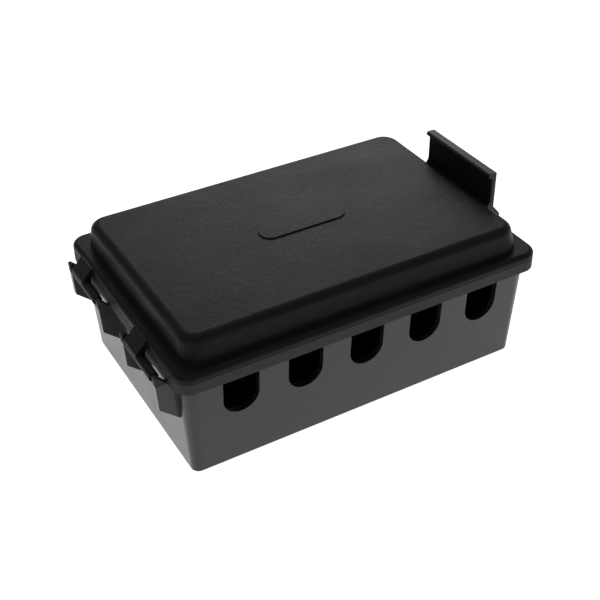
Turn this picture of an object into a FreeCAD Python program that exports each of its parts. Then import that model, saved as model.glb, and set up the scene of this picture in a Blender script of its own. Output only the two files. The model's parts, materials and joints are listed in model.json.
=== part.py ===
"""Cable junction box: a black moulded box with a pin-hinged pillow lid, a flip-up end latch, five cable
slots in each long wall and a screw terminal strip inside. Millimetres, +Z up, +X towards the latch
end, -Y towards the front. The origin is the centre of the tub's base."""
import FreeCAD, Part
import math
import os

import Sketcher

from FreeCAD import Placement, Rotation, Vector

doc = FreeCAD.newDocument("cable_junction_box")

# ---------------------------------------------------------------- driving dimensions
DIMENSIONS = {
    # tub
    "base_length": 180, "base_width": 115, "base_round": 4, "draft_out": 3, "wall_top": 52.6,
    "wall": 3, "floor_depth": 3, "base_edge": 1,
    "rim_length": 193, "rim_width": 128.6, "rim_round": 8, "rim_depth": 5.7,
    "groove_inset": 1.8, "groove_width": 3, "groove_depth": 3,
    "slot_width": 18, "slot_pitch": 32.8, "slot_low": 29.1, "slots_per_wall": 5,
    # lid
    "seam": 0.3, "flange_over": 0, "flange_depth": 3.6, "flange_edge": 2.4,
    "pillow_length": 179.6, "pillow_width": 116.6, "pillow_round": 9, "pillow_rise": 12.6,
    "pillow_lean_x": 0.9, "pillow_lean_latch": 2.4, "pillow_lean_y": 2.2, "pillow_edge": 4.3,
    "lid_wall": 2.6, "hollow_taper": 2,
    "bead_width": 1.6, "bead_depth": 0.7, "seal_gap": 0.3,
    "plate_length": 46, "plate_width": 12, "plate_rise": 0.6,
    # lid hinge at the -X end
    "hinge_out": 100.3, "hinge_up": 53.9, "unit_offset": 32.1, "ear_gap": 32.6, "ear_thick": 3,
    "ear_out": 102.2, "ear_top": 57, "ear_crest": 1.5, "ear_low": 39, "ear_foot": 29, "ear_lean": 1,
    "ear_corner": 0.8, "knuckle_radius": 2.3, "knuckle_play": 1.3, "knuckle_shift": 0.9,
    "arm_width": 13, "arm_offset": 7, "arm_gap": 0.5, "hinge_pin_radius": 1, "pin_end_cover": 1,
    "running_gap": 0.08,
    # latch at the +X end
    "latch_out": 98.2, "latch_up": 61.3, "latch_width": 53.4, "latch_barrel": 2.6, "latch_rise": 25.7,
    "latch_in": 5.2, "latch_thick": 3.3, "latch_lip": 1.4, "latch_lip_depth": 2.4,
    "latch_foot": 7, "latch_foot_rise": 3.7, "foot_blend": 3.2, "latch_flare": 6.2,
    "latch_end_round": 1.6, "channel_gap": 0.45,
    "hook_drop": 9.3, "hook_depth": 2.4, "hook_reach": 5.4, "hook_width": 36,
    "lug_offset": 16, "lug_width": 6, "lug_play": 0.4, "latch_pin_radius": 1.25,
    # holes that fix the box down
    "fixing_pitch_x": 156, "fixing_pitch_y": 92, "fixing_radius": 2.6, "fixing_pad_radius": 6,
    "fixing_pad_rise": 1.5,
    # terminal strip
    "ways": 8, "way_pitch": 14.5, "way_rib": 2, "strip_width": 40, "strip_up": 8, "strip_height": 14,
    "channel_depth": 4.5, "end_rib": 3, "tab_reach": 12, "tab_width": 14, "tab_thick": 4,
    "boss_radius": 4.5, "pilot_gap": 0.1, "pilot_depth": 6,
    "bar_play": 0.3, "bar_length": 34, "bar_thick": 2, "screw_offset": 11,
    "clamp_head_radius": 3.7, "clamp_head_rise": 2.4, "clamp_radius": 2, "clamp_length": 9,
    "fix_head_radius": 3.2, "fix_head_rise": 2, "fix_radius": 1.5, "fix_length": 9,
    "driver_slot_width": 0.9, "driver_slot_depth": 1.1,
    "marker_inset": 4, "marker_width": 9, "marker_thick": 1,
}

sheet = doc.addObject("Spreadsheet::Sheet", "dims")
for row, (alias, value) in enumerate(DIMENSIONS.items(), start=1):
    sheet.set(f"A{row}", alias)
    sheet.set(f"B{row}", str(value))
    sheet.setAlias(f"B{row}", alias)
doc.recompute()


def dims(formula):
    """A formula over the sheet's aliases, written with plain names, as an expression on the sheet."""
    words = sorted(DIMENSIONS, key=len, reverse=True)
    text = formula
    for number, word in enumerate(words):
        text = text.replace(word, f"@{number}@")
    for number, word in enumerate(words):
        text = text.replace(f"@{number}@", f"dims.{word}")
    return text


def value_of(formula):
    """The number that a formula over the sheet gives now."""
    return float(sheet.evalExpression(dims(formula)))


# ---------------------------------------------------------------- heights and places used often
RIM_TOP = "(wall_top + rim_depth)"
FLANGE_LOW = "(wall_top + rim_depth + seam)"
FLANGE_TOP = "(wall_top + rim_depth + seam + flange_depth)"
LID_TOP = "(wall_top + rim_depth + seam + flange_depth + pillow_rise)"
STRIP_LENGTH = "(ways * way_pitch - way_rib + 2 * end_rib)"
STRIP_TOP = "(strip_up + strip_height)"
FIX_OFFSET = f"({STRIP_LENGTH} / 2 + tab_reach / 2)"
FLARE_OUT = "(latch_out + latch_barrel * 0.77)"
FLARE_UP = "(latch_up + latch_barrel * 0.63)"
PIN_LENGTH = "(ear_gap + 2 * ear_thick - pin_end_cover)"
THROUGH = 400


# ---------------------------------------------------------------- PartDesign helpers
def new_body(label):
    body = doc.addObject("PartDesign::Body", label)
    body.Label = label
    return body


def origin_plane(body, role):
    return [item for item in body.Origin.OriginFeatures if item.Role == role][0]


def new_sketch(body, name, role="XY_Plane", offset="0"):
    """A sketch on one of the body's own origin planes, moved along the plane's normal by offset."""
    sketch = body.newObject("Sketcher::SketchObject", name)
    sketch.AttachmentSupport = [(origin_plane(body, role), "")]
    sketch.MapMode = "FlatFace"
    sketch.setExpression("AttachmentOffset.Base.z", dims(offset))
    return sketch


def bind(sketch, kind, where, formula):
    """Add a dimension to the sketch and tie it to the sheet."""
    index = sketch.addConstraint(Sketcher.Constraint(kind, *where, value_of(formula)))
    sketch.setExpression(f"Constraints[{index}]", dims(formula))


def add_rounded_rectangle(sketch, length, width, radius):
    """A rectangle about the origin with round corners: four lines and four quarter arcs."""
    half_x, half_y, r = value_of(length) / 2, value_of(width) / 2, value_of(radius)
    corner_x, corner_y = half_x - r, half_y - r
    first = sketch.GeometryCount
    sides = [
        (Vector(-corner_x, -half_y), Vector(corner_x, -half_y)),
        (Vector(half_x, -corner_y), Vector(half_x, corner_y)),
        (Vector(corner_x, half_y), Vector(-corner_x, half_y)),
        (Vector(-half_x, corner_y), Vector(-half_x, -corner_y)),
    ]
    for start, end in sides:
        sketch.addGeometry(Part.LineSegment(start, end), False)
    centres = [(corner_x, -corner_y), (corner_x, corner_y), (-corner_x, corner_y),
               (-corner_x, -corner_y)]
    for quarter, (x, y) in enumerate(centres):
        start_angle = math.radians(90 * (quarter - 1))
        circle = Part.Circle(Vector(x, y), Vector(0, 0, 1), r)
        sketch.addGeometry(Part.ArcOfCircle(circle, start_angle, start_angle + math.pi / 2), False)
    for side in range(4):
        line, arc, following = first + side, first + 4 + side, first + (side + 1) % 4
        sketch.addConstraint(Sketcher.Constraint("Tangent", line, 2, arc, 1))
        sketch.addConstraint(Sketcher.Constraint("Tangent", arc, 2, following, 1))
    sketch.addConstraint(Sketcher.Constraint("Horizontal", first))
    sketch.addConstraint(Sketcher.Constraint("Vertical", first + 1))
    sketch.addConstraint(Sketcher.Constraint("Horizontal", first + 2))
    sketch.addConstraint(Sketcher.Constraint("Symmetric", first + 4, 3, first + 6, 3, -1, 1))
    for arc in range(first + 5, first + 8):
        sketch.addConstraint(Sketcher.Constraint("Equal", first + 4, arc))
    bind(sketch, "Radius", (first + 4,), radius)
    bind(sketch, "DistanceX", (first + 7, 3, first + 4, 3), f"({length}) - 2 * ({radius})")
    bind(sketch, "DistanceY", (first + 4, 3, first + 5, 3), f"({width}) - 2 * ({radius})")


def add_outline(sketch, corners):
    """A closed outline of straight sides through corners given as pairs of formulas."""
    points = [Vector(value_of(across), value_of(up)) for across, up in corners]
    first = sketch.GeometryCount
    for start, end in zip(points, points[1:] + points[:1]):
        sketch.addGeometry(Part.LineSegment(start, end), False)
    for number, (across, up) in enumerate(corners):
        line = first + number
        following = first + (number + 1) % len(corners)
        sketch.addConstraint(Sketcher.Constraint("Coincident", line, 2, following, 1))
        bind(sketch, "DistanceX", (-1, 1, line, 1), across)
        bind(sketch, "DistanceY", (-1, 1, line, 1), up)


def add_circle(sketch, across, up, radius):
    centre = Vector(value_of(across), value_of(up))
    index = sketch.addGeometry(Part.Circle(centre, Vector(0, 0, 1), value_of(radius)), False)
    bind(sketch, "Radius", (index,), radius)
    bind(sketch, "DistanceX", (-1, 1, index, 3), across)
    bind(sketch, "DistanceY", (-1, 1, index, 3), up)


def pad(body, name, sketch, length, midplane=False):
    feature = body.newObject("PartDesign::Pad", name)
    feature.Profile = sketch
    feature.SideType = "Symmetric" if midplane else "One side"
    feature.setExpression("Length", dims(length))
    return feature


def cut(body, name, sketch, depth, midplane=False, flip=False):
    """A pocket; the solid has to get smaller."""
    doc.recompute()
    before = body.Shape.Volume
    feature = body.newObject("PartDesign::Pocket", name)
    feature.Profile = sketch
    feature.SideType = "Symmetric" if midplane else "One side"
    feature.Reversed = flip
    feature.setExpression("Length", dims(depth))
    doc.recompute()
    if not body.Shape.Volume < before - 0.01:
        raise RuntimeError(f"{name} cuts nothing")
    return feature


def loft(body, name, lower, upper, additive=True):
    kind = "PartDesign::AdditiveLoft" if additive else "PartDesign::SubtractiveLoft"
    feature = body.newObject(kind, name)
    feature.Profile = lower
    feature.Sections = [upper]
    feature.Ruled = True
    return feature


def mirror(body, name, originals, role):
    """The same features again on the other side of an origin plane."""
    feature = body.newObject("PartDesign::Mirrored", name)
    feature.Originals = originals
    feature.MirrorPlane = (origin_plane(body, role), [""])
    body.Tip = feature
    return feature


def repeat(body, name, originals, role, count, length):
    """A row of the same features along an origin axis."""
    feature = body.newObject("PartDesign::LinearPattern", name)
    feature.Originals = originals
    feature.Direction = (origin_plane(body, role), [""])
    feature.setExpression("Occurrences", dims(count))
    feature.setExpression("Length", dims(length))
    body.Tip = feature
    return feature


def edges_where(shape, wanted):
    """Names of the edges whose two ends and middle all pass the test."""
    names = []
    for number, edge in enumerate(shape.Edges, start=1):
        middle = edge.valueAt((edge.FirstParameter + edge.LastParameter) / 2)
        if all(wanted(point) for point in [middle] + [vertex.Point for vertex in edge.Vertexes]):
            names.append(f"Edge{number}")
    return names


def fillet(body, name, base, wanted, radius):
    doc.recompute()
    feature = body.newObject("PartDesign::Fillet", name)
    feature.Base = (base, edges_where(base.Shape, wanted))
    feature.setExpression("Radius", dims(radius))
    doc.recompute()
    return feature


def near(number, target, margin=0.02):
    return abs(number - target) < margin


# ---------------------------------------------------------------- tub
def make_tub():
    body = new_body("body_tub")
    foot = new_sketch(body, "TubFoot")
    add_rounded_rectangle(foot, "base_length", "base_width", "base_round")
    shoulder = new_sketch(body, "TubShoulder", offset="wall_top")
    add_rounded_rectangle(shoulder, "base_length + 2 * draft_out", "base_width + 2 * draft_out",
                          "base_round + draft_out")
    walls = loft(body, "TubWalls", foot, shoulder)
    fillet(body, "TubBaseEdge", walls, lambda point: near(point.z, 0), "base_edge")

    rim = new_sketch(body, "TubRim", offset="wall_top")
    add_rounded_rectangle(rim, "rim_length", "rim_width", "rim_round")
    pad(body, "TubRimBand", rim, "rim_depth")
    make_tub_ears(body)

    lean_low = "draft_out * floor_depth / wall_top"
    lean_high = f"draft_out * {RIM_TOP} / wall_top"
    inner_low = new_sketch(body, "TubCavityLow", offset="floor_depth")
    add_rounded_rectangle(inner_low, f"base_length - 2 * wall + 2 * {lean_low}",
                          f"base_width - 2 * wall + 2 * {lean_low}", "base_round - wall + 1")
    inner_high = new_sketch(body, "TubCavityHigh", offset=RIM_TOP)
    add_rounded_rectangle(inner_high, f"base_length - 2 * wall + 2 * {lean_high}",
                          f"base_width - 2 * wall + 2 * {lean_high}",
                          "base_round - wall + 1 + draft_out")
    loft(body, "TubCavity", inner_low, inner_high, additive=False)

    groove = new_sketch(body, "TubGroove", offset=RIM_TOP)
    add_rounded_rectangle(groove, "rim_length - 2 * groove_inset", "rim_width - 2 * groove_inset",
                          "rim_round - groove_inset")
    inset = "(groove_inset + groove_width)"
    add_rounded_rectangle(groove, f"rim_length - 2 * {inset}", f"rim_width - 2 * {inset}",
                          f"rim_round - {inset}")
    cut(body, "TubSealGroove", groove, "groove_depth")

    make_tub_floor(body)

    slot = new_sketch(body, "TubSlot", "XZ_Plane")
    add_slot(slot, "0 - slot_pitch * (slots_per_wall - 1) / 2")
    first = cut(body, "TubFirstSlots", slot, f"{THROUGH}", midplane=True)
    repeat(body, "TubSlots", [first], "X_Axis", "slots_per_wall", "slot_pitch * (slots_per_wall - 1)")

    unit_front = "(0 - unit_offset - ear_gap / 2 - ear_thick)"
    bore = new_sketch(body, "TubPinBore", "XZ_Plane", f"0 - ({unit_front} + pin_end_cover)")
    add_circle(bore, "0 - hinge_out", "hinge_up", "hinge_pin_radius")
    front_bore = cut(body, "TubFrontPinBore", bore, PIN_LENGTH)
    repeat(body, "TubPinBores", [front_bore], "Y_Axis", "2", "2 * unit_offset")
    return body


def make_tub_floor(body):
    """Inside the floor: two bosses under the terminal strip and four padded holes that fix the box."""
    signs = ("", "0 - ")
    bosses = new_sketch(body, "TubBosses", offset="floor_depth")
    for sign in signs:
        add_circle(bosses, f"{sign}{FIX_OFFSET}", "0", "boss_radius")
    pad(body, "TubBossPads", bosses, "strip_up - floor_depth")
    pilots = new_sketch(body, "TubPilots", offset="strip_up")
    for sign in signs:
        add_circle(pilots, f"{sign}{FIX_OFFSET}", "0", "fix_radius + pilot_gap")
    cut(body, "TubPilotHoles", pilots, "pilot_depth")

    corners = [(f"{across}fixing_pitch_x / 2", f"{back}fixing_pitch_y / 2")
               for across in signs for back in signs]
    pads = new_sketch(body, "TubFixingPads", offset="floor_depth")
    holes = new_sketch(body, "TubFixingHoles", offset="floor_depth + fixing_pad_rise")
    for across, back in corners:
        add_circle(pads, across, back, "fixing_pad_radius")
        add_circle(holes, across, back, "fixing_radius")
    pad(body, "TubFixingPadDiscs", pads, "fixing_pad_rise")
    cut(body, "TubFixingBores", holes, "floor_depth + fixing_pad_rise")


def add_slot(sketch, across):
    """A round-bottomed slot that runs up to the underside of the rim band."""
    middle, r = value_of(across), value_of("slot_width") / 2
    low, top = value_of("slot_low") + r, value_of("wall_top")
    arc = Part.ArcOfCircle(Part.Circle(Vector(middle, low), Vector(0, 0, 1), r), math.pi, 2 * math.pi)
    sketch.addGeometry(arc, False)
    corners = [Vector(middle + r, low), Vector(middle + r, top), Vector(middle - r, top),
               Vector(middle - r, low)]
    for start, end in zip(corners, corners[1:]):
        sketch.addGeometry(Part.LineSegment(start, end), False)
    sketch.addConstraint(Sketcher.Constraint("Tangent", 0, 2, 1, 1))
    sketch.addConstraint(Sketcher.Constraint("Coincident", 1, 2, 2, 1))
    sketch.addConstraint(Sketcher.Constraint("Coincident", 2, 2, 3, 1))
    sketch.addConstraint(Sketcher.Constraint("Tangent", 3, 2, 0, 1))
    sketch.addConstraint(Sketcher.Constraint("Horizontal", 2))
    bind(sketch, "Radius", (0,), "slot_width / 2")
    bind(sketch, "DistanceX", (-1, 1, 0, 3), across)
    bind(sketch, "DistanceY", (-1, 1, 0, 3), "slot_low + slot_width / 2")
    bind(sketch, "DistanceY", (-1, 1, 2, 1), "wall_top")


def make_tub_ears(body):
    """Four gusset ears on the -X end, two to a hinge unit, each with a crest that holds the pin."""
    root, side = "0 - base_length / 2", "0 - rim_length / 2"
    outline = [(root, "ear_foot"), (root, "wall_top"), (side, "wall_top"),
               ("0 - ear_out + ear_crest", "ear_top"), ("0 - ear_out", "ear_top"),
               ("0 - ear_out + ear_lean", "ear_low")]
    pads = []
    for name, inner in (("Near", "unit_offset - ear_gap / 2 - ear_thick"),
                        ("Far", "unit_offset + ear_gap / 2")):
        ear = new_sketch(body, f"Tub{name}Ear", "XZ_Plane", inner)
        add_outline(ear, outline)
        pads.append(pad(body, f"Tub{name}EarPlate", ear, "ear_thick"))
    mirror(body, "TubOtherEars", pads, "XZ_Plane")
    doc.recompute()
    ear_out, ear_top = value_of("ear_out"), value_of("ear_top")
    fillet(body, "TubEarCorners", body.Tip,
           lambda point: near(point.x, -ear_out) and near(point.z, ear_top), "ear_corner")


# ---------------------------------------------------------------- lid
def make_lid():
    body = new_body("lid_cover")
    flange = new_sketch(body, "LidFlange", offset=FLANGE_LOW)
    add_rounded_rectangle(flange, "rim_length + 2 * flange_over", "rim_width + 2 * flange_over",
                          "rim_round + flange_over")
    plate = pad(body, "LidFlangePlate", flange, "flange_depth")
    flange_top = value_of(FLANGE_TOP)
    fillet(body, "LidFlangeEdge", plate, lambda point: near(point.z, flange_top), "flange_edge")

    channel = new_sketch(body, "LidLatchChannel", "XZ_Plane")
    add_circle(channel, "latch_out", "latch_up", "latch_barrel + channel_gap")
    cut(body, "LidLatchRecess", channel, "latch_width + 2 * lug_play", midplane=True)

    foot = new_sketch(body, "PillowFoot", offset=FLANGE_TOP)
    add_rounded_rectangle(foot, "pillow_length", "pillow_width", "pillow_round")
    crown = new_sketch(body, "PillowCrown", offset=LID_TOP)
    crown_shift = dims("(pillow_lean_x - pillow_lean_latch) / 2")
    crown.setExpression("AttachmentOffset.Base.x", crown_shift)
    crown_length = "(pillow_length - pillow_lean_x - pillow_lean_latch)"
    add_rounded_rectangle(crown, crown_length, "pillow_width - 2 * pillow_lean_y", "pillow_round")
    pillow = loft(body, "LidPillow", foot, crown)
    lid_top = value_of(LID_TOP)
    fillet(body, "LidPillowEdge", pillow, lambda point: near(point.z, lid_top), "pillow_edge")

    label = new_sketch(body, "LidBlankPlate", offset=LID_TOP)
    add_rounded_rectangle(label, "plate_length", "plate_width", "plate_width / 2 - 0.5")
    pad(body, "LidBlankLabel", label, "plate_rise")
    make_lid_arms(body)
    make_lid_lugs(body)

    hollow_low = new_sketch(body, "LidHollowLow", offset=FLANGE_LOW)
    add_rounded_rectangle(hollow_low, "pillow_length - 2 * lid_wall", "pillow_width - 2 * lid_wall",
                          "pillow_round - lid_wall")
    hollow_high = new_sketch(body, "LidHollowHigh", offset=f"{LID_TOP} - lid_wall")
    hollow_high.setExpression("AttachmentOffset.Base.x", crown_shift)
    add_rounded_rectangle(hollow_high, f"{crown_length} - 2 * lid_wall - hollow_taper",
                          "pillow_width - 2 * lid_wall - 2 * pillow_lean_y - hollow_taper",
                          "pillow_round - lid_wall")
    loft(body, "LidHollow", hollow_low, hollow_high, additive=False)

    bead = new_sketch(body, "LidBead", offset=f"{FLANGE_LOW} - bead_depth")
    outer = "(groove_inset + (groove_width - bead_width) / 2)"
    inner = "(groove_inset + (groove_width + bead_width) / 2)"
    for inset in (outer, inner):
        add_rounded_rectangle(bead, f"rim_length - 2 * {inset}", f"rim_width - 2 * {inset}",
                              f"rim_round - {inset}")
    pad(body, "LidSealBead", bead, "bead_depth")

    for name, across, up, radius in (
            ("LidHinge", "0 - hinge_out", "hinge_up", "hinge_pin_radius + running_gap"),
            ("LidLatch", "latch_out", "latch_up", "latch_pin_radius")):
        bore = new_sketch(body, f"{name}Bore", "XZ_Plane")
        add_circle(bore, across, up, radius)
        cut(body, f"{name}Bores", bore, f"{THROUGH}", midplane=True)
    return body


def make_lid_arms(body):
    """Two hinge arms: each drops from the flange to a knuckle that fills the gap between its ears."""
    arm_out = "(0 - hinge_out - knuckle_radius)"
    arm_in = "(0 - rim_length / 2 - arm_gap)"
    root = "(0 - rim_length / 2 + flange_edge + 1)"
    outline = [(root, FLANGE_LOW), (arm_in, FLANGE_LOW), ("0 - hinge_out + knuckle_radius", "hinge_up"),
               (arm_out, "hinge_up"), (f"{arm_out} + arm_gap", "hinge_up + knuckle_radius"),
               (arm_in, f"{FLANGE_TOP} - arm_gap"), (root, f"{FLANGE_TOP} - arm_gap")]
    arm = new_sketch(body, "LidArm", "XZ_Plane", "unit_offset - arm_offset - arm_width / 2")
    add_outline(arm, outline)
    arm_pad = pad(body, "LidArmWeb", arm, "arm_width")
    knuckle_rear = "unit_offset - ear_gap / 2 + knuckle_play - knuckle_shift"
    knuckle = new_sketch(body, "LidKnuckle", "XZ_Plane", knuckle_rear)
    add_circle(knuckle, "0 - hinge_out", "hinge_up", "knuckle_radius")
    knuckle_pad = pad(body, "LidKnuckleBarrel", knuckle, "ear_gap - 2 * knuckle_play")
    repeat(body, "LidOtherArm", [arm_pad, knuckle_pad], "Y_Axis", "2", "2 * unit_offset")


def make_lid_lugs(body):
    """Two lugs on the +X end that carry the latch pin."""
    root = "rim_length / 2 - flange_edge - 1"
    outline = [(root, FLANGE_LOW), ("latch_out", "latch_up - latch_barrel"),
               ("latch_out", "latch_up + latch_barrel"), (root, FLANGE_TOP)]
    side = new_sketch(body, "LidLug", "XZ_Plane", "lug_offset - lug_width / 2")
    add_outline(side, outline)
    side_pad = pad(body, "LidLugWeb", side, "lug_width")
    eye = new_sketch(body, "LidLugEye", "XZ_Plane", "lug_offset - lug_width / 2")
    add_circle(eye, "latch_out", "latch_up", "latch_barrel")
    eye_pad = pad(body, "LidLugRound", eye, "lug_width")
    mirror(body, "LidOtherLug", [side_pad, eye_pad], "XZ_Plane")


def make_seal():
    """The ring that lies in the rim's groove, its top just under the lid's bead."""
    body = new_body("lid_seal")
    ring = new_sketch(body, "SealRing", offset=f"{RIM_TOP} - groove_depth")
    for inset in ("groove_inset", "(groove_inset + groove_width)"):
        add_rounded_rectangle(ring, f"rim_length - 2 * {inset}", f"rim_width - 2 * {inset}",
                              f"rim_round - {inset}")
    pad(body, "SealPad", ring, "groove_depth + seam - bead_depth - seal_gap")
    return body


# ---------------------------------------------------------------- latch
def make_latch():
    """The flip-up latch, standing open: barrel, plate, finger lip, foot and hook rib in one piece."""
    body = new_body("latch_clip")
    inner, outer = "(latch_out - latch_in)", "(latch_out - latch_in + latch_thick)"
    top, low = "(latch_up + latch_rise)", f"({FLANGE_TOP} + seam)"
    foot_in, foot_top = "(latch_out - latch_foot)", f"({FLANGE_TOP} + seam + latch_foot_rise)"
    lip_in, lip_low = f"({inner} - latch_lip)", f"({top} - latch_lip_depth)"
    outline = [("latch_out", low), (foot_in, low), (foot_in, foot_top),
               (inner, f"{foot_top} + foot_blend"), (inner, lip_low), (lip_in, lip_low), (lip_in, top),
               (outer, top),
               (outer, "latch_up + latch_flare"), (FLARE_OUT, FLARE_UP), ("latch_out", "latch_up")]
    side = new_sketch(body, "LatchSide", "XZ_Plane")
    add_outline(side, outline)
    plate = pad(body, "LatchPlate", side, "latch_width", midplane=True)
    nose, nose_top, nose_low = value_of(lip_in), value_of(top), value_of(lip_low)
    fillet(body, "LatchLipEdges", plate,
           lambda point: near(point.x, nose) and (near(point.z, nose_top) or near(point.z, nose_low)),
           "latch_lip_depth / 2 - 0.05")
    plate_in, half_width = value_of(inner), value_of("latch_width") / 2
    fillet(body, "LatchPlateEnds", body.Tip,
           lambda point: near(point.x, plate_in) and near(abs(point.y), half_width), "latch_end_round")

    barrel = new_sketch(body, "LatchBarrel", "XZ_Plane")
    add_circle(barrel, "latch_out", "latch_up", "latch_barrel")
    pad(body, "LatchBarrelRound", barrel, "latch_width", midplane=True)

    hook = new_sketch(body, "LatchHook", "XZ_Plane")
    hook_low = "(latch_up + hook_drop)"
    hook_root, hook_tip = f"({outer} - latch_thick / 2)", f"({outer} + hook_reach)"
    add_outline(hook, [(hook_root, hook_low), (hook_tip, hook_low),
                       (hook_tip, f"{hook_low} + hook_depth / 2"),
                       (hook_root, f"{hook_low} + hook_depth + 1")])
    pad(body, "LatchHookRib", hook, "hook_width", midplane=True)

    notch = new_sketch(body, "LatchNotch", "XZ_Plane", "lug_offset - lug_width / 2 - lug_play")
    add_outline(notch, [("latch_out - latch_foot - 1", "latch_up - latch_barrel - 1"),
                        ("latch_out + latch_barrel + 1", "latch_up - latch_barrel - 1"),
                        ("latch_out + latch_barrel + 1", "latch_up + latch_barrel + lug_play"),
                        ("latch_out - latch_foot - 1", "latch_up + latch_barrel + lug_play")])
    first = cut(body, "LatchFirstNotch", notch, "lug_width + 2 * lug_play", flip=True)
    mirror(body, "LatchNotches", [first], "XZ_Plane")

    bore = new_sketch(body, "LatchBore", "XZ_Plane")
    add_circle(bore, "latch_out", "latch_up", "latch_pin_radius + running_gap")
    cut(body, "LatchBoreHole", bore, f"{THROUGH}", midplane=True)
    return body


# ---------------------------------------------------------------- pins, rod and other round pieces
def along_y(piece, across, up, start):
    """Turn a cylinder's axis from +Z to +Y and put its end at the given place."""
    piece.Placement = Placement(Vector(), Rotation(Vector(1, 0, 0), -90))
    piece.setExpression("Placement.Base.x", dims(across))
    piece.setExpression("Placement.Base.y", dims(start))
    piece.setExpression("Placement.Base.z", dims(up))


def cylinder(name, radius, length):
    piece = doc.addObject("Part::Cylinder", name)
    piece.setExpression("Radius", dims(radius))
    piece.setExpression("Height", dims(length))
    return piece


def make_hinge_pin(label, middle):
    """A steel pin pressed in from the rear of one hinge unit; it ends inside the unit's front ear."""
    pin = cylinder(label, "hinge_pin_radius", PIN_LENGTH)
    along_y(pin, "0 - hinge_out", "hinge_up", f"{middle} - ear_gap / 2 - ear_thick + pin_end_cover")
    pin.Label = label
    return pin


def make_latch_pin():
    pin = cylinder("latch_pin", "latch_pin_radius", "latch_width")
    along_y(pin, "latch_out", "latch_up", "0 - latch_width / 2")
    return pin


# ---------------------------------------------------------------- terminal strip and its hardware
def way_place(number):
    """Where a way's centre lies along X, counted from one."""
    return f"({number - 1} - (ways - 1) / 2) * way_pitch"


def make_strip():
    """The moulded terminal strip: a channel for each way between ribs, and a fixing tab at each end."""
    body = new_body("terminal_strip")
    block = new_sketch(body, "StripBlock", offset="strip_up")
    add_rounded_rectangle(block, STRIP_LENGTH, "strip_width", "1.5")
    pad(body, "StripPad", block, "strip_height")
    tab = new_sketch(body, "StripTab", offset="strip_up")
    add_rounded_rectangle(tab, f"{STRIP_LENGTH} + 2 * tab_reach", "tab_width", "tab_width / 2 - 0.5")
    pad(body, "StripTabs", tab, "tab_thick")

    channel = new_sketch(body, "StripChannel", offset=STRIP_TOP)
    half = "(way_pitch - way_rib) / 2"
    first_way = way_place(1)
    side = "strip_width / 2 + 1"
    left, right = f"{first_way} - {half}", f"{first_way} + {half}"
    add_outline(channel, [(left, f"0 - ({side})"), (right, f"0 - ({side})"), (right, side),
                          (left, side)])
    first = cut(body, "StripFirstChannel", channel, "channel_depth")
    repeat(body, "StripChannels", [first], "X_Axis", "ways", "(ways - 1) * way_pitch")

    bores = new_sketch(body, "StripBores", offset=f"{STRIP_TOP} - channel_depth")
    for sign in ("", "0 - "):
        add_circle(bores, first_way, f"{sign}screw_offset", "clamp_radius + pilot_gap")
    drilled = cut(body, "StripFirstBores", bores, "clamp_length - bar_thick + 0.5")
    repeat(body, "StripScrewBores", [drilled], "X_Axis", "ways", "(ways - 1) * way_pitch")

    fixing = new_sketch(body, "StripFixing", offset="strip_up + tab_thick")
    for sign in ("", "0 - "):
        add_circle(fixing, f"{sign}{FIX_OFFSET}", "0", "fix_radius + pilot_gap")
    cut(body, "StripFixingHoles", fixing, "tab_thick")
    return body


def make_marker():
    """The plain marker strip that lies on the ribs between the two rows of screws."""
    body = new_body("marker_strip")
    outline = new_sketch(body, "MarkerOutline", offset=STRIP_TOP)
    add_rounded_rectangle(outline, f"{STRIP_LENGTH} - marker_inset", "marker_width", "1")
    pad(body, "MarkerPad", outline, "marker_thick")
    return body


def make_bar(number):
    """One brass bar that joins the front and rear screws of a way."""
    body = new_body(f"terminal_bar_{number}")
    outline = new_sketch(body, f"BarOutline{number}", offset=f"{STRIP_TOP} - channel_depth")
    middle, half = way_place(number), "((way_pitch - way_rib) / 2 - bar_play)"
    left, right, end = f"{middle} - {half}", f"{middle} + {half}", "bar_length / 2"
    add_outline(outline, [(left, f"0 - {end}"), (right, f"0 - {end}"), (right, end), (left, end)])
    for sign in ("", "0 - "):
        add_circle(outline, middle, f"{sign}screw_offset", "clamp_radius + pilot_gap")
    pad(body, f"BarPad{number}", outline, "bar_thick")
    return body


def make_screws(label, start, back, seat, kind, count, spread):
    """A row of equal slotted pan-head screws along X, each a separate solid of one group."""
    body = new_body(label)
    body.AllowCompound = True
    shank = new_sketch(body, f"{label}_shank", offset=f"{seat} - {kind}_length")
    add_circle(shank, start, back, f"{kind}_radius")
    shank_pad = pad(body, f"{label}_shank_pad", shank, f"{kind}_length")
    head = new_sketch(body, f"{label}_head", offset=seat)
    add_circle(head, start, back, f"{kind}_head_radius")
    head_pad = pad(body, f"{label}_head_pad", head, f"{kind}_head_rise")
    slot = new_sketch(body, f"{label}_slot", offset=f"{seat} + {kind}_head_rise")
    reach, half = f"({kind}_head_radius + 1)", "driver_slot_width / 2"
    left, right = f"{start} - {reach}", f"{start} + {reach}"
    near_side, far_side = f"{back} - {half}", f"{back} + {half}"
    add_outline(slot, [(left, near_side), (right, near_side), (right, far_side), (left, far_side)])
    slot_cut = cut(body, f"{label}_slot_cut", slot, "driver_slot_depth")
    repeat(body, f"{label}_row", [shank_pad, head_pad, slot_cut], "X_Axis", count, spread)
    return body


def make_clamp_screws(label, back):
    return make_screws(label, way_place(1), back, f"({STRIP_TOP} - channel_depth + bar_thick)", "clamp",
                       "ways", "(ways - 1) * way_pitch")


def make_fixing_screws(label):
    return make_screws(label, f"(0 - {FIX_OFFSET})", "0", "(strip_up + tab_thick)", "fix", "2",
                       f"2 * {FIX_OFFSET}")


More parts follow.
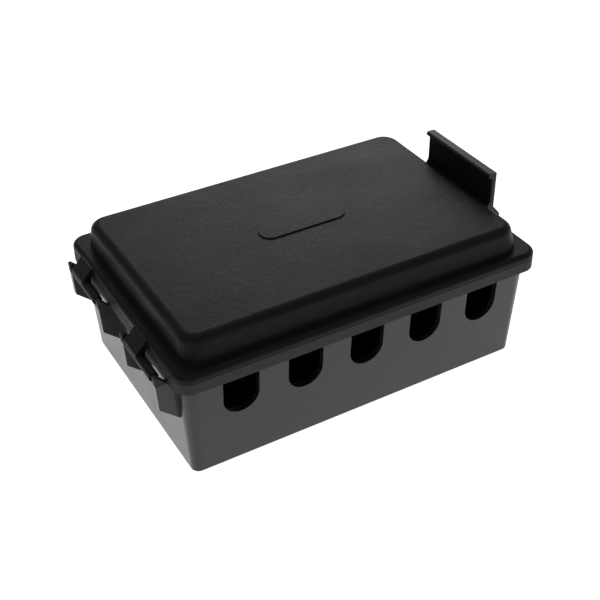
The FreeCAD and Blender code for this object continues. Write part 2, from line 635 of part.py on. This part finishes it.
# ---------------------------------------------------------------- build, check and write
pieces = {
    make_tub(): 1, make_lid(): 1, make_seal(): 1, make_latch(): 1, make_latch_pin(): 1,
    make_hinge_pin("hinge_pin_front", "0 - unit_offset"): 1,
    make_hinge_pin("hinge_pin_rear", "unit_offset"): 1,
    make_strip(): 1, make_marker(): 1,
    make_clamp_screws("clamp_screws_front", "0 - screw_offset"): DIMENSIONS["ways"],
    make_clamp_screws("clamp_screws_rear", "screw_offset"): DIMENSIONS["ways"],
    make_fixing_screws("strip_screws"): 2,
}
for number in range(1, DIMENSIONS["ways"] + 1):
    pieces[make_bar(number)] = 1
doc.recompute()

for item in doc.Objects:
    if "Invalid" in item.State or "Error" in item.State:
        raise RuntimeError(f"{item.Name} failed: {item.State}")

os.makedirs("parts", exist_ok=True)
for piece, solids in pieces.items():
    shape = piece.Shape
    if shape.isNull() or not shape.isValid() or len(shape.Solids) != solids:
        raise RuntimeError(f"{piece.Label} is not {solids} valid solid(s)")
    shape.exportStep(f"parts/{piece.Label}.step")
    print(f"{piece.Label}: {shape.Volume / 1000:.2f} cm3")
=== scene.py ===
"""Looks for the cable junction box: procedural plastics, rubber, steel, brass and card on the
CAD pieces, a pale table and soft lights. Metres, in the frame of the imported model: +Z up, +X
towards the latch end, -Y towards the camera's side."""

import json
import math

import bpy
from mathutils import Matrix, Vector

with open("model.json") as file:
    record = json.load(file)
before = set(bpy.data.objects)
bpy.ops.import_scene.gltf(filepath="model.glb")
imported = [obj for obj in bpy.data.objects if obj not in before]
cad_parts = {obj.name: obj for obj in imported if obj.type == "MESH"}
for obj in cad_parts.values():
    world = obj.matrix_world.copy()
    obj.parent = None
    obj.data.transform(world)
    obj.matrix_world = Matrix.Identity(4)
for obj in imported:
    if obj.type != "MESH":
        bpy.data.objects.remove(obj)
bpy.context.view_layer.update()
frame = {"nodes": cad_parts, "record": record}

# ---------------------------------------------------------------- camera
CAMERA_PLACE = Vector((-0.2270, -0.3972, 0.3641))
CAMERA_TURN = math.radians(-30.57)
CAMERA_DIP = math.radians(36.03)
CAMERA_ROLL = math.radians(-0.11)
CAMERA_LENS = 67.09
CAMERA_SENSOR = 36
CAMERA_SHIFT = (-0.0260, -0.0088)
CAMERA_NEAR = 0.01


def make_camera():
    """The photograph's viewpoint: a turn about +Z, a dip below the horizon and a slight roll."""
    ahead = Vector((-math.sin(CAMERA_TURN) * math.cos(CAMERA_DIP),
                    math.cos(CAMERA_TURN) * math.cos(CAMERA_DIP), -math.sin(CAMERA_DIP)))
    level = Vector((math.cos(CAMERA_TURN), math.sin(CAMERA_TURN), 0))
    raised = level.cross(ahead)
    right = level * math.cos(CAMERA_ROLL) + raised * math.sin(CAMERA_ROLL)
    up = raised * math.cos(CAMERA_ROLL) - level * math.sin(CAMERA_ROLL)
    data = bpy.data.cameras.new("camera")
    data.lens = CAMERA_LENS
    data.sensor_width = CAMERA_SENSOR
    data.shift_x, data.shift_y = CAMERA_SHIFT
    data.clip_start = CAMERA_NEAR
    camera = bpy.data.objects.new("camera", data)
    camera.matrix_world = Matrix.Translation(CAMERA_PLACE) @ Matrix(
        (right, up, -ahead)).transposed().to_4x4()
    bpy.context.scene.collection.objects.link(camera)
    bpy.context.scene.camera = camera


# ---------------------------------------------------------------- material nodes
EDGE_SAMPLES = 6
EDGE_NONE, EDGE_FULL = 0.995, 0.8    # cosine between the eased and the true normal


class Nodes:
    """A material's node tree, with short calls for the nodes that the materials below share."""

    def __init__(self, name):
        self.material = bpy.data.materials.new(name)
        self.material.use_nodes = True
        self.tree = self.material.node_tree
        self.tree.nodes.clear()
        self.shader = self.add("ShaderNodeBsdfPrincipled")
        output = self.add("ShaderNodeOutputMaterial")
        self.tree.links.new(self.shader.outputs["BSDF"], output.inputs["Surface"])
        self.place = self.add("ShaderNodeTexCoord").outputs["Object"]

    def add(self, kind, **settings):
        node = self.tree.nodes.new(kind)
        for key, value in settings.items():
            setattr(node, key, value)
        return node

    def plug(self, socket, value):
        """Link an output into a socket, or set a plain number or colour on it."""
        if isinstance(value, bpy.types.NodeSocket):
            self.tree.links.new(value, socket)
        else:
            socket.default_value = value

    def set(self, **values):
        """Plug values into the shader; Base_Color stands for its socket Base Color."""
        for key, value in values.items():
            self.plug(self.shader.inputs[key.replace("_", " ")], value)

    def axes(self):
        """The object's X, Y and Z coordinates, one output each."""
        node = self.add("ShaderNodeSeparateXYZ")
        self.plug(node.inputs[0], self.place)
        return node.outputs

    def noise(self, size, detail=3, place=None):
        """Noise from 0 to 1 with features about size metres across."""
        node = self.add("ShaderNodeTexNoise")
        self.plug(node.inputs["Vector"], place or self.place)
        node.inputs["Scale"].default_value = 1 / size
        node.inputs["Detail"].default_value = detail
        return node.outputs["Fac"]

    def stretch(self, x, y, z):
        """The object's coordinates scaled along each axis, for flow lines and lathe marks."""
        node = self.add("ShaderNodeMapping")
        self.plug(node.inputs["Vector"], self.place)
        node.inputs["Scale"].default_value = (x, y, z)
        return node.outputs["Vector"]

    def remap(self, value, low, high, to_low, to_high):
        """Carry low..high over to to_low..to_high, held at the ends."""
        node = self.add("ShaderNodeMapRange")
        self.plug(node.inputs["Value"], value)
        for key, number in (("From Min", low), ("From Max", high),
                            ("To Min", to_low), ("To Max", to_high)):
            node.inputs[key].default_value = number
        return node.outputs["Result"]

    def math(self, operation, first, second):
        node = self.add("ShaderNodeMath", operation=operation)
        self.plug(node.inputs[0], first)
        self.plug(node.inputs[1], second)
        return node.outputs[0]

    def blend(self, factor, first, second):
        """A number between first and second."""
        node = self.add("ShaderNodeMix", data_type="FLOAT")
        self.plug(node.inputs[0], factor)
        self.plug(node.inputs[2], first)
        self.plug(node.inputs[3], second)
        return node.outputs[0]

    def mix(self, factor, first, second):
        """A colour between first and second."""
        node = self.add("ShaderNodeMix", data_type="RGBA")
        self.plug(node.inputs[0], factor)
        self.plug(node.inputs[6], first)
        self.plug(node.inputs[7], second)
        return node.outputs[2]

    def rounded(self, radius):
        """The surface normal with its sharp edges eased over a radius."""
        node = self.add("ShaderNodeBevel", samples=EDGE_SAMPLES)
        node.inputs["Radius"].default_value = radius
        return node.outputs["Normal"]

    def edges(self, radius):
        """1 on an outer or inner edge, falling to 0 a radius away."""
        dot = self.add("ShaderNodeVectorMath", operation="DOT_PRODUCT")
        self.plug(dot.inputs[0], self.rounded(radius))
        self.plug(dot.inputs[1], self.add("ShaderNodeNewGeometry").outputs["Normal"])
        return self.remap(dot.outputs["Value"], EDGE_NONE, EDGE_FULL, 0, 1)

    def bump(self, height, depth, normal):
        """A normal raised by up to depth metres where height is 1."""
        node = self.add("ShaderNodeBump")
        self.plug(node.inputs["Height"], height)
        node.inputs["Distance"].default_value = depth
        node.inputs["Strength"].default_value = 1
        self.plug(node.inputs["Normal"], normal)
        return node.outputs["Normal"]


def grey(level, warm=1.0):
    """A grey, or one a little redder than it is blue where warm is above 1."""
    return (level * warm, level, level / warm, 1)


# ---------------------------------------------------------------- moulded plastic
FLOW_SIZE, FLOW_STRETCH = 0.045, (1, 1.8, 1)
SPECK_SIZE = 0.0011
MOTTLE_SIZE = 0.0016
RIPPLE_SIZE = 0.03
COARSE_GRAIN = 4             # the coarser layer of grain, in sizes of the fine one
RUB_RADIUS = 0.0007          # how far from an edge it is rubbed
RUB_PATCH = 0.006
RUB_DULLING = 0.12           # roughness added on a rubbed edge
BAND_FADE = 0.0003           # height over which the matte band starts
BAND_DULLING = 0.42          # roughness added in it


def moulded_plastic(name, shade, gloss, grain, grain_depth, ripple, edge_radius=0.0004,
                    shine=0.5, matte_above=None):
    """Black moulded plastic with spark-finish grain, flow ripples and slightly rubbed edges.
    matte_above is the height where a duller textured band starts, such as the tub's rim."""
    n = Nodes(name)
    flow = n.noise(FLOW_SIZE, 2, place=n.stretch(*FLOW_STRETCH))
    speck = n.noise(SPECK_SIZE, 2)
    rub = n.math("MULTIPLY", n.edges(RUB_RADIUS), n.remap(n.noise(RUB_PATCH, 4), 0.42, 0.66, 0, 1))
    tone = n.mix(flow, grey(shade * 0.8, 1.02), grey(shade * 1.25))
    tone = n.mix(n.remap(speck, 0.62, 0.8, 0, 0.35), tone, grey(shade * 2.2))
    tone = n.mix(n.math("MULTIPLY", rub, 0.5), tone, grey(shade * 4.5))
    rough = n.math("ADD", flow, n.noise(MOTTLE_SIZE, 3))
    rough = n.remap(rough, 0.7, 1.3, gloss - 0.04, gloss + 0.05)
    rough = n.math("ADD", rough, n.math("MULTIPLY", rub, RUB_DULLING))
    if matte_above is not None:
        height = n.axes()[2]
        band = n.remap(height, matte_above - BAND_FADE, matte_above, 0, BAND_DULLING)
        rough = n.math("ADD", rough, band)
    waves = n.bump(n.noise(RIPPLE_SIZE, 1), ripple, n.rounded(edge_radius))
    coarse = n.bump(n.noise(grain * COARSE_GRAIN, 2), grain_depth * 1.5, waves)
    fine = n.bump(n.noise(grain, 2), grain_depth, coarse)
    n.set(Base_Color=tone, Roughness=rough, IOR=1.5, Specular_IOR_Level=shine, Normal=fine)
    return n.material


# ---------------------------------------------------------------- rubber, metals and card
CARD_CLEAN = (0.74, 0.72, 0.64, 1)
CARD_SMUDGED = (0.58, 0.55, 0.46, 1)
BRASS_BRIGHT = (0.70, 0.49, 0.18, 1)
BRASS_DULL = (0.44, 0.30, 0.11, 1)


def rubber(name):
    """Matt black moulded rubber with fine powdery mottling."""
    n = Nodes(name)
    bloom = n.noise(0.004, 4)
    n.set(Base_Color=n.mix(bloom, grey(0.018), grey(0.045, 1.02)))
    n.set(Roughness=n.remap(bloom, 0.3, 0.7, 0.72, 0.9))
    n.set(Normal=n.bump(n.noise(0.0006, 3), 0.00004, n.rounded(0.0004)))
    return n.material


def metal(name, colour, dull, gloss, streaks):
    """Plated or plain metal: turned or drawn streaks, duller patches and brighter edges.
    streaks scales the coordinates, so marks run along the axis with the smallest number."""
    n = Nodes(name)
    patch = n.noise(0.003, 4)
    lines = n.noise(0.0006, 3, place=n.stretch(*streaks))
    base = n.mix(n.remap(patch, 0.35, 0.7, 0, 1), colour, dull)
    bright = tuple(min(1, channel * 1.35) for channel in colour[:3]) + (1,)
    n.set(Base_Color=n.mix(n.math("MULTIPLY", n.edges(0.0003), 0.6), base, bright))
    n.set(Metallic=1.0)
    n.set(Roughness=n.remap(n.math("ADD", patch, lines), 0.6, 1.4, gloss, gloss + 0.2))
    n.set(Normal=n.bump(lines, 0.00002, n.rounded(0.0002)))
    return n.material


def card(name):
    """Off-white plastic marker strip, slightly yellowed and smudged."""
    n = Nodes(name)
    smudge = n.noise(0.012, 5)
    n.set(Base_Color=n.mix(n.remap(smudge, 0.4, 0.75, 0, 1), CARD_CLEAN, CARD_SMUDGED))
    n.set(Roughness=n.remap(smudge, 0.3, 0.7, 0.42, 0.58))
    n.set(Normal=n.bump(n.noise(0.0008, 2), 0.00002, n.rounded(0.0003)))
    return n.material


def make_finishes():
    """One material for each material slot in the record."""
    return {
        "box_plastic": moulded_plastic(
            "box_plastic", shade=0.0120, gloss=0.28, grain=0.0006, grain_depth=0.000010,
            ripple=0.00006, shine=0.42, matte_above=0.0524),
        "lid_plastic": moulded_plastic(
            "lid_plastic", shade=0.0080, gloss=0.42, grain=0.0011, grain_depth=0.000070,
            ripple=0.00012, shine=0.11),
        "latch_plastic": moulded_plastic(
            "latch_plastic", shade=0.0080, gloss=0.40, grain=0.0005, grain_depth=0.000012,
            ripple=0.00003, shine=0.22),
        "strip_plastic": moulded_plastic(
            "strip_plastic", shade=0.0340, gloss=0.45, grain=0.0007, grain_depth=0.000012,
            ripple=0.00002, edge_radius=0.0003),
        "seal_rubber": rubber("seal_rubber"),
        "marker_card": card("marker_card"),
        "pin_steel": metal(
            "pin_steel", grey(0.34, 1.02), grey(0.22, 1.04), gloss=0.28, streaks=(1, 60, 60)),
        "screw_steel": metal(
            "screw_steel", grey(0.56, 1.01), grey(0.40, 1.04), gloss=0.24, streaks=(8, 8, 60)),
        "terminal_brass": metal(
            "terminal_brass", BRASS_BRIGHT, BRASS_DULL, gloss=0.26, streaks=(60, 6, 6)),
    }


def dress_nodes():
    """Give every CAD piece the material of its slot in the record."""
    finishes = make_finishes()
    slots = {part["node"]: part["material_slot"] for part in frame["record"]["subparts"]}
    for name, piece in frame["nodes"].items():
        piece.data.materials.clear()
        piece.data.materials.append(finishes[slots[name]])


# ---------------------------------------------------------------- stage
# The table glows on its own. It is white across the picture and pales to a light grey beyond
# the picture's lower and left edges, which is what the box's sides reflect.
FLOOR_HALF = 8.0
FLOOR_HEIGHT = -0.0002
GLOW_TABLE = 1.04
GLOW_OUTSIDE = 0.60
INTO_PICTURE = (0.51, 0.86)          # level direction away from the camera
ACROSS_PICTURE = (0.952, -0.305)     # level direction square to the picture's left edge
LOWER_EDGE = (-0.170, -0.27)         # where the glow starts and stops falling along each
LEFT_EDGE = (-0.158, -0.26)
LIGHT_COLOUR = (1.0, 0.975, 0.92)
ROOM_LEVEL = 0.30


def along(n, direction):
    """How far a point is along a level direction."""
    x, y, _ = n.axes()
    return n.math("ADD", n.math("MULTIPLY", x, direction[0]),
                  n.math("MULTIPLY", y, direction[1]))


def make_floor():
    n = Nodes("glowing_table")
    # painted light: the table glows by itself, white in the camera's view and dimmer beyond the
    # view's lower and left edges, which sets what the box's sides reflect
    glow = n.remap(along(n, INTO_PICTURE), *LOWER_EDGE, GLOW_TABLE, GLOW_OUTSIDE)
    glow = n.blend(n.remap(along(n, ACROSS_PICTURE), *LEFT_EDGE, 0, 1), glow, GLOW_OUTSIDE)
    n.set(Base_Color=grey(0.5), Roughness=0.8, Specular_IOR_Level=0.0)
    n.set(Emission_Color=grey(1.0), Emission_Strength=glow)
    corners = [(FLOOR_HALF * x, FLOOR_HALF * y, FLOOR_HEIGHT)
               for x, y in ((-1, -1), (1, -1), (1, 1), (-1, 1))]
    mesh = bpy.data.meshes.new("floor")
    mesh.from_pydata(corners, [], [(0, 1, 2, 3)])
    mesh.materials.append(n.material)
    floor = bpy.data.objects.new("floor", mesh)
    bpy.context.scene.collection.objects.link(floor)


def add_light(name, place, target, size, radiance):
    """A square soft light of the given radiance at a place, facing a target."""
    data = bpy.data.lights.new(name, "AREA")
    data.shape = "SQUARE"
    data.size = size
    data.energy = radiance * math.pi * size ** 2
    data.color = LIGHT_COLOUR
    light = bpy.data.objects.new(name, data)
    light.location = place
    facing = Vector(target) - Vector(place)
    light.rotation_euler = facing.to_track_quat("-Z", "Y").to_euler()
    bpy.context.scene.collection.objects.link(light)


def make_lights():
    """A card beyond the box that the lid's top reflects, its brighter middle, and an overhead."""
    lid_top = (0.05, 0, 0.07)
    add_light("far_card", (1.05, 1.9, 1.25), lid_top, size=1.5, radiance=1.35)
    add_light("far_core", (1.1, 1.85, 1.15), lid_top, size=0.8, radiance=2.0)
    add_light("overhead", (0.0, 0.1, 1.8), (0, 0, 0), size=1.2, radiance=0.5)


def make_room():
    """Dim even light from all round, and plain colours so that the table comes out white."""
    world = bpy.data.worlds.new("room")
    world.use_nodes = True
    background = world.node_tree.nodes["Background"]
    background.inputs["Color"].default_value = grey(ROOM_LEVEL)
    background.inputs["Strength"].default_value = 1
    bpy.context.scene.world = world
    bpy.context.scene.view_settings.view_transform = "Standard"


make_camera()
dress_nodes()
make_floor()
make_lights()
make_room()
